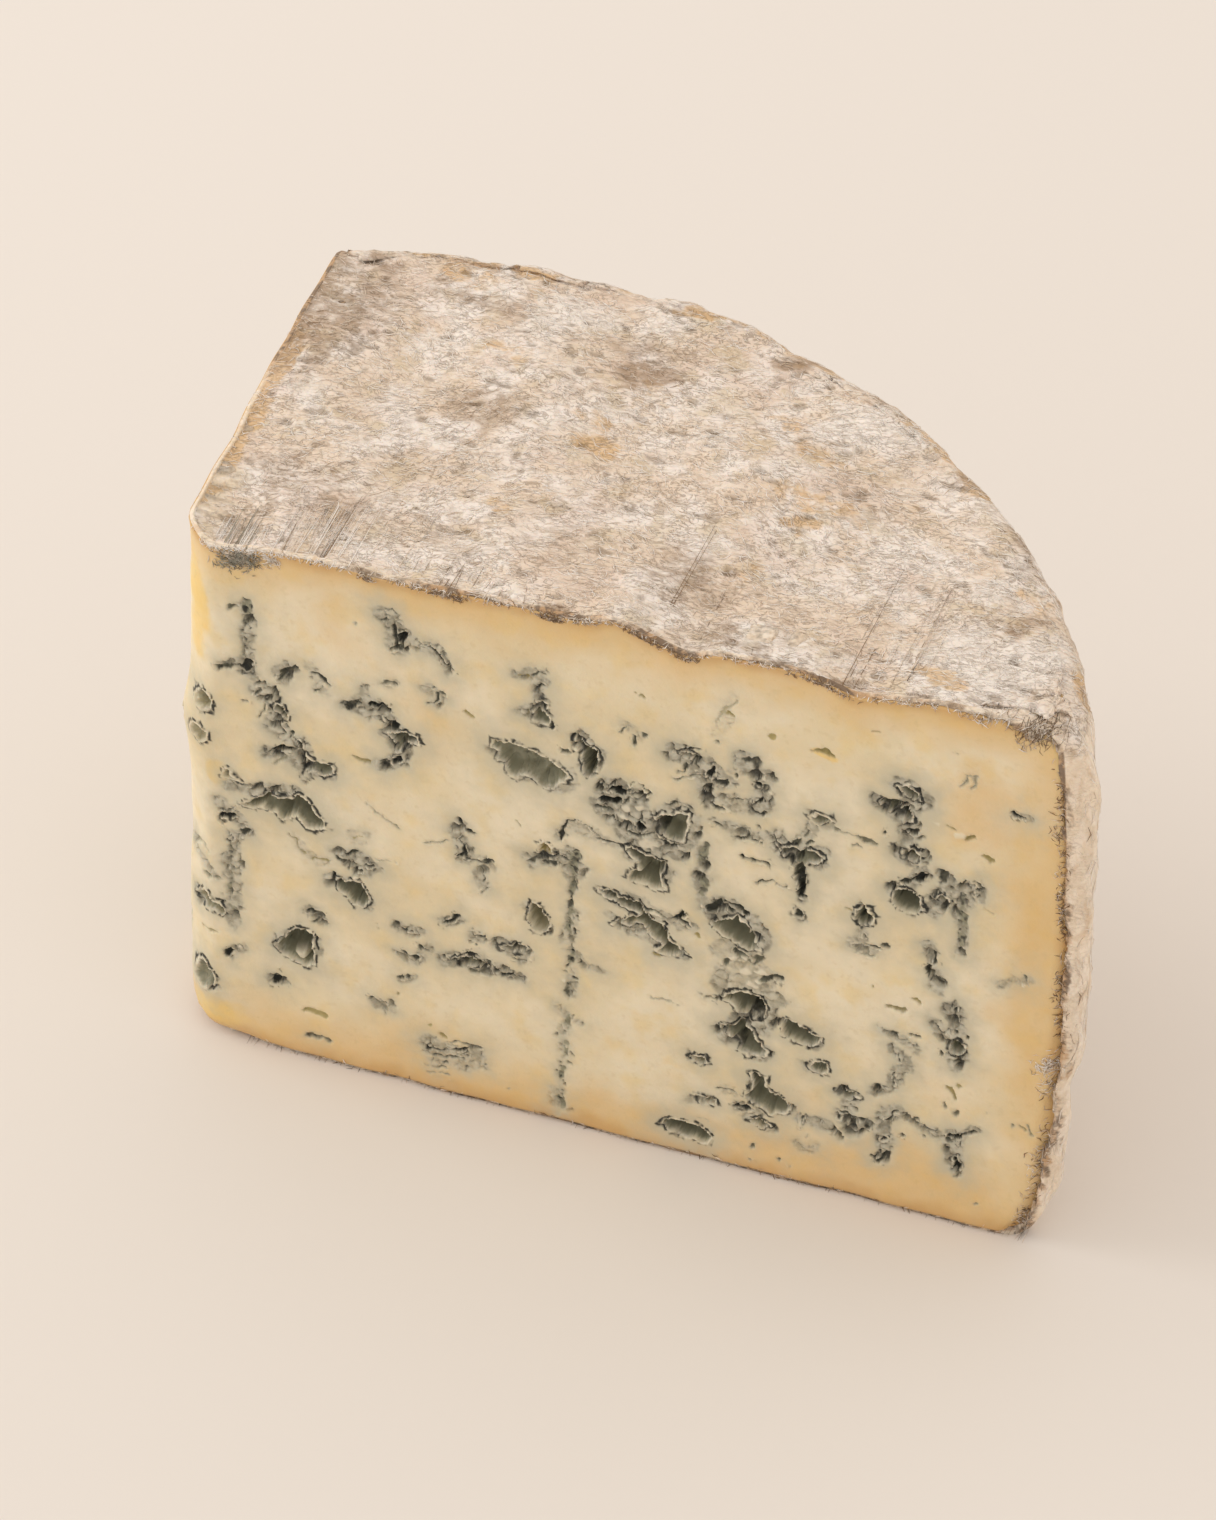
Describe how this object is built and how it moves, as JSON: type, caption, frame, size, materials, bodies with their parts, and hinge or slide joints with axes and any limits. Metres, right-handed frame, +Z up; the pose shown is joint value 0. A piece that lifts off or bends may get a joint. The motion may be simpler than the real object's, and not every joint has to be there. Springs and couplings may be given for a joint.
{
  "type": "stilton wedge",
  "caption": "Upright wedge of blue-veined crumbly cheese with a flat veined cut face, a blunt nose and a mottled natural rind around the back, top and foot.",
  "frame": {"origin": "middle of the foot's bounding box, on the surface that the wedge stands on", "axes": "+X along the veined front cut from the nose towards the rind, +Y from the front cut towards the rind at the back, +Z up; the front cut faces -Y and the second cut faces -X"},
  "size_m": [0.1328, 0.0706, 0.0927],
  "materials": {
    "cheese": "matt, slightly moist pale cream paste with blue-grey veins, and a dry mottled beige rind"
  },
  "bodies": {
    "root": {"cheese_wedge": "cheese"}
  },
  "joints": []
}
